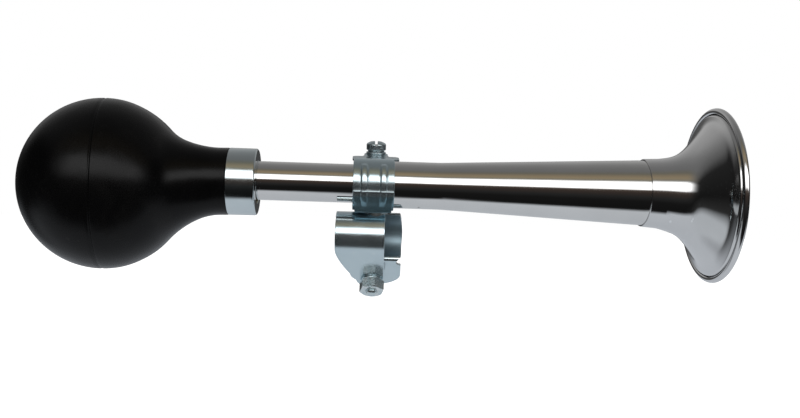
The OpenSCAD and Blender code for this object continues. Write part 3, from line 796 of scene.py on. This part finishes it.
def thread(z0, z1, r0, r1, pitch=0.8, seg=72, per=10):
    """Rows of a screw thread from z0 to z1."""
    th = np.arange(seg) * TAU / seg
    rows, n = [], max(2, int(round((z1 - z0) / pitch * per)))
    for i in range(n + 1):
        zz = z0 + (z1 - z0) * i / n
        tri = 1 - np.abs(2 * np.mod(zz / pitch - th / TAU, 1.0) - 1)
        fade = smooth((zz - z0) / (0.6 * pitch)) * smooth((z1 - zz) / (0.6 * pitch))
        rows.append((r1 - (r1 - r0) * (1 - np.clip((tri - 0.12) / 0.55, 0, 1)) * fade, zz))
    return rows


SC = shifted(BAND, SCREW_X, SCREW_S, BAND_RO)
head = rounded([(2.45, 1.85, 0), (4.5, 1.85, 0.3), (4.5, 4.75, 0.9), (2.6, 5.75, 2.0), (0.0, 5.75, 0)], 7, closed=False)
rows = [(0, -10.2), (1.95, -10.2)] + thread(-9.7, 0.4, 2.08, 2.45) + [(2.45, 0.6), (2.45, 1.75)] + head[:-1] + [(0, 5.75)]
screw = spin("band_screw_zinc", rows, SC, 72)
boolean(screw, brick(SC, (-0.65, -6, 4.0), (0.65, 6, 9)), "DIFFERENCE")
dress(screw, "band_screw", ZINC_SCREW, "zinc", "band_screw", angle=28)

# split spring washer: a short helix of rounded square wire
sec = rounded([(2.62, 0.0, 0.14), (3.8, 0.0, 0.14), (3.8, 0.62, 0.14), (2.62, 0.62, 0.14)], 3, 0.02)
v, f, m_s = [], [], len(sec)
n_turn = 90
for i in range(n_turn + 1):
    a = rad(95) + rad(350) * i / n_turn
    lift = 1.03 + 0.16 * i / n_turn
    v += [(r * math.cos(a), r * math.sin(a), lift + q) for r, q in sec]
for i in range(n_turn):
    for j in range(m_s):
        k = (j + 1) % m_s
        f.append((i * m_s + j, (i + 1) * m_s + j, (i + 1) * m_s + k, i * m_s + k))
f.append(tuple(range(m_s)))
f.append(tuple(range(n_turn * m_s, n_turn * m_s + m_s))[::-1])
dress(mesh_from("band_lockwasher_zinc", to_world(SC, v), f), "band_lockwasher", ZINC_SCREW, "zinc", "band_lockwasher")

disc = rounded([(4.5, 0.02, 0.2), (4.5, 1.0, 0.3), (2.75, 1.0, 0.15), (2.75, 0.02, 0.1)], 5)
dress(spin("band_washer_zinc", disc, SC, 96, True), "band", ZINC_SCREW, "zinc", "band_washer")


def nut(name, fr, sides, inr, z0, z1, bore, ch_r, seg=144, turn=0.0):
    """Nut with chamfered corners: the cone cuts each flat in a curve."""
    th = np.arange(seg) * TAU / seg
    step = TAU / sides
    flat = inr / np.cos(np.mod(th + rad(turn) + step / 2, step) - step / 2)
    drop = np.clip(flat - ch_r, 0, None) * math.tan(rad(30))
    bore_ch = 0.35
    rows = [(bore, z0 + bore_ch), (bore + bore_ch, z0), (ch_r, z0), (flat, z0 + drop * 0.7 + 0.02), (flat, z1 - drop - 0.02), (ch_r, z1), (bore + bore_ch, z1), (bore, z1 - bore_ch)]
    rows += [r for r in thread(z0 + bore_ch, z1 - bore_ch, bore, bore + 0.25, seg=seg)[::-1][1:-1]]
    return spin(name, rows, fr, seg, True)


dress(nut("band_nut_zinc", shifted(BAND, SCREW_X, SCREW_S, EAR_N - 4.05), 4, 4.0, 0.0, 4.0, 2.5, 3.75), "band", ZINC_SCREW, "zinc", "band_nut", angle=20)

BC = shifted(BAR, -BOLT_X, BOLT_S, 0)
n0 = REAR_N - BAR_T
head = rounded([(0.0, n0 - 2.7, 0), (3.7, n0 - 2.7, 0.5), (4.1, n0 - 2.0, 0.5), (4.1, n0 - 0.02, 0.25), (2.45, n0 - 0.02, 0)], 6, closed=False)
rows = [(0, n0 - 2.7)] + head[1:] + [(2.45, n0 + 0.1), (2.45, n0 + 3)] + thread(n0 + 3.1, BAR_RO + 6.75, 2.08, 2.45) + [(2.3, BAR_RO + 7.0), (1.9, BAR_RO + 7.4), (1.6, BAR_RO + 7.5), (0, BAR_RO + 7.5)]
bolt = spin("bar_bolt_zinc", rows, BC, 72)
boolean(bolt, brick(BC, (-0.6, -5, n0 - 4.7), (0.6, 5, n0 - 1.4)), "DIFFERENCE")
dress(bolt, "bar_clamp", ZINC_SCREW, "zinc", "bar_bolt", angle=28)
disc = rounded([(4.9, 0.02, 0.15), (4.9, 0.82, 0.25), (2.65, 0.82, 0.12), (2.65, 0.02, 0.1)], 5)
dress(spin("bar_washer_zinc", disc, shifted(BAR, -BOLT_X, BOLT_S, BAR_RO), 96, True), "bar_washer", ZINC_SCREW, "zinc", "bar_washer")
dress(nut("bar_nut_zinc", shifted(BAR, -BOLT_X, BOLT_S, BAR_RO + 0.85), 6, 5.11, 0.0, 5.0, 2.5, 5.15, turn=15), "bar_nut", ZINC_SCREW, "zinc", "bar_nut", angle=20)

disc = rounded([(SEAT_R, SW0 + 0.02, 0.12), (SEAT_R, SW1 - 0.02, 0.12), (2.2, SW1 - 0.02, 0.1), (2.2, SW0 + 0.02, 0.1)], 4)
dress(spin("swivel_washer_zinc", disc, UP, 128, True), "band", ZINC_SCREW, "zinc", "swivel_washer")

# ---------------------------------------------------------------- pieces carried over from the frame
for name, mat in (("neck_bush", BRASS), ("joint_bush", BRASS), ("reed_holder", BRASS), ("reed_shallot", BRASS),
                  ("reed_tongue", BRASS), ("reed_wedge", BRASS), ("reed_clip", STEEL), ("swivel_rivet", STEEL)):
    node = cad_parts[name]
    node.data.materials.clear()
    node.data.materials.append(mat)
    node.data.shade_smooth()
    node.data.set_sharp_from_angle(angle=rad(30))

# ---------------------------------------------------------------- floor, light, camera
scene = bpy.context.scene
scene.view_settings.view_transform = "Standard"
scene.view_settings.look = "None"
scene.view_settings.exposure = 0
scene.view_settings.gamma = 1

v, f, ring_n = [(0.0, 0.0, 0.0)], [], 96
for i in range(ring_n):
    v.append((1500 * math.cos(TAU * i / ring_n), 1500 * math.sin(TAU * i / ring_n), 0.0))
    f.append((0, 1 + i, 1 + (i + 1) % ring_n))
me = bpy.data.meshes.new("floor")
me.from_pydata([(a * MM, b * MM, -0.13) for a, b, c in v], [], f)
floor = bpy.data.objects.new("floor", me)
scene.collection.objects.link(floor)
fm = Nodes("floor_pale")
fm.set(Roughness=0.9, Emission_Strength=0.9)
fm.bsdf.inputs["Emission Color"].default_value = (1, 1, 1, 1)
fm.to(fm.mix(fm.ranged(fm.noise(9, 3), 0.3, 0.7, 0.0, 1.0), (0.80, 0.80, 0.80), (0.84, 0.84, 0.84)), "Base Color")
me.materials.append(fm.mat)
floor.visible_glossy = False

world = bpy.data.worlds.new("studio")
scene.world = world
world.use_nodes = True
wt = world.node_tree
wt.nodes.clear()


def wn(kind, **kw):
    n = wt.nodes.new(kind)
    for k, val in kw.items():
        setattr(n, k, val)
    return n


def wmath(op, a, b=None):
    n = wn("ShaderNodeMath", operation=op)
    for i, val in enumerate((a, b)):
        if val is None:
            continue
        if isinstance(val, (int, float)):
            n.inputs[i].default_value = val
        else:
            wt.links.new(val, n.inputs[i])
    return n.outputs[0]


def wramp(val, stops, gain):
    n = wn("ShaderNodeValToRGB")
    e = n.color_ramp.elements
    while len(e) > 1:
        e.remove(e[-1])
    for i, (p, c) in enumerate(stops):
        c = (c, c, c) if isinstance(c, (int, float)) else c
        el = e[0] if i == 0 else e.new(p)
        el.position = p
        el.color = (c[0] / gain, c[1] / gain, c[2] / gain, 1)
    wt.links.new(val, n.inputs[0])
    return n.outputs[0]


def wstep(val, a, b):
    n = wn("ShaderNodeMapRange", interpolation_type="SMOOTHSTEP")
    n.inputs["From Min"].default_value, n.inputs["From Max"].default_value = a, b
    wt.links.new(val, n.inputs["Value"])
    return n.outputs[0]


def wmix(fac, a, b):
    n = wn("ShaderNodeMix", data_type="RGBA")
    wt.links.new(fac, n.inputs[0])
    for i, val in ((6, a), (7, b)):
        if isinstance(val, tuple):
            n.inputs[i].default_value = (*val, 1)
        else:
            wt.links.new(val, n.inputs[i])
    return n.outputs[2]


GAIN = 2.6
sep = wn("ShaderNodeSeparateXYZ")
wt.links.new(wn("ShaderNodeTexCoord").outputs["Generated"], sep.inputs[0])
dx, dy, dz = sep.outputs
ang = wmath("ARCTAN2", dz, wmath("MULTIPLY", dy, -1.0))
pos = wmath("ADD", wmath("DIVIDE", ang, TAU), 0.5)


def at(deg):
    return (deg + 180) / 360


# bands of the room round the horn's axis: 0 is the camera's side, 90 straight up, -90 straight down
def room(edge, past):
    """Bands from straight behind and below, round by the front, to behind and above; edge is where the pale floor ends."""
    return [(at(k), c) for k, c in [(-180, 0.06), (-170, 0.06), (-164, (0.50, 0.53, 0.57)), (-120, (0.54, 0.57, 0.61)), (edge - 6, (0.58, 0.61, 0.65)), (edge + 5, 0.012),
            (edge + 11, 0.008), (-26, 0.010), (-12, 0.022), (4, (0.045, 0.034, 0.029)), (11.5, (0.095, 0.074, 0.062)), (17, 2.2), (21, 2.6)] + past + [(118, 0.24), (140, 0.34), (164, 0.44), (170, 0.10), (180, 0.06)]]


above = [(37, 2.6), (42, 1.0), (46, (0.24, 0.225, 0.18)), (54, (0.32, 0.255, 0.165)), (62, (0.265, 0.215, 0.145)), (72, (0.17, 0.16, 0.13)), (84, 0.172), (98, 0.19)]
near_bulb = wmath("SUBTRACT", 1.0, wstep(dx, -0.10, 0.08))
front = wmix(near_bulb, wramp(pos, room(-63, above), GAIN), wramp(pos, room(-56, above), GAIN))
tilt = wmath("MULTIPLY", wmath("MULTIPLY", wstep(dx, -0.95, -0.55), 0.133), wmath("SUBTRACT", 1.0, wstep(dx, 0.0, 0.2)))
elev = wmath("ADD", wmath("ADD", wmath("DIVIDE", wmath("ARCSINE", dz), math.pi), 0.5), tilt)


def el(deg):
    return (deg + 90) / 180


side = wramp(elev, [(el(-90), (0.54, 0.57, 0.61)), (el(-25), (0.52, 0.55, 0.58)), (el(-16), 0.03), (el(0), 0.010), (el(28), 0.02), (el(42), 0.11), (el(60), 0.16), (el(90), 0.18)], GAIN)
keep = wmath("MULTIPLY", wstep(dx, -0.88, -0.42), wmath("SUBTRACT", 1.0, wstep(dx, 0.80, 0.95)))
lit = wmix(keep, side, front)
bg = wn("ShaderNodeBackground")
wt.links.new(lit, bg.inputs[0])
bg.inputs[1].default_value = GAIN
white = wn("ShaderNodeBackground")
white.inputs[0].default_value = (1, 1, 1, 1)
white.inputs[1].default_value = 1.0
pick = wn("ShaderNodeMixShader")
wt.links.new(wn("ShaderNodeLightPath").outputs["Is Camera Ray"], pick.inputs[0])
wt.links.new(bg.outputs[0], pick.inputs[1])
wt.links.new(white.outputs[0], pick.inputs[2])
wt.links.new(pick.outputs[0], wn("ShaderNodeOutputWorld").inputs[0])

e_cam, psi, rho_c = rad(3.0), rad(2.63), rad(1.99)
theta = e_cam + rad(1.574)
fwd = Vector((math.sin(psi) * math.cos(theta), math.cos(psi) * math.cos(theta), -math.sin(theta)))
r0 = Vector((math.cos(psi), -math.sin(psi), 0))
u0 = r0.cross(fwd)
right = r0 * math.cos(rho_c) + u0 * math.sin(rho_c)
up = -r0 * math.sin(rho_c) + u0 * math.cos(rho_c)
cam_data = bpy.data.cameras.new("camera")
cam_data.lens, cam_data.sensor_width, cam_data.sensor_fit = 39.15, 36.0, "HORIZONTAL"
cam_data.clip_start, cam_data.clip_end = 0.01, 50
cam = bpy.data.objects.new("camera", cam_data)
place = Matrix((right, up, -fwd)).transposed().to_4x4()
place.translation = Vector((-0.0072, -0.3915 * math.cos(e_cam), HORN_H * MM + 0.3915 * math.sin(e_cam)))
cam.matrix_world = place
scene.collection.objects.link(cam)
scene.camera = cam
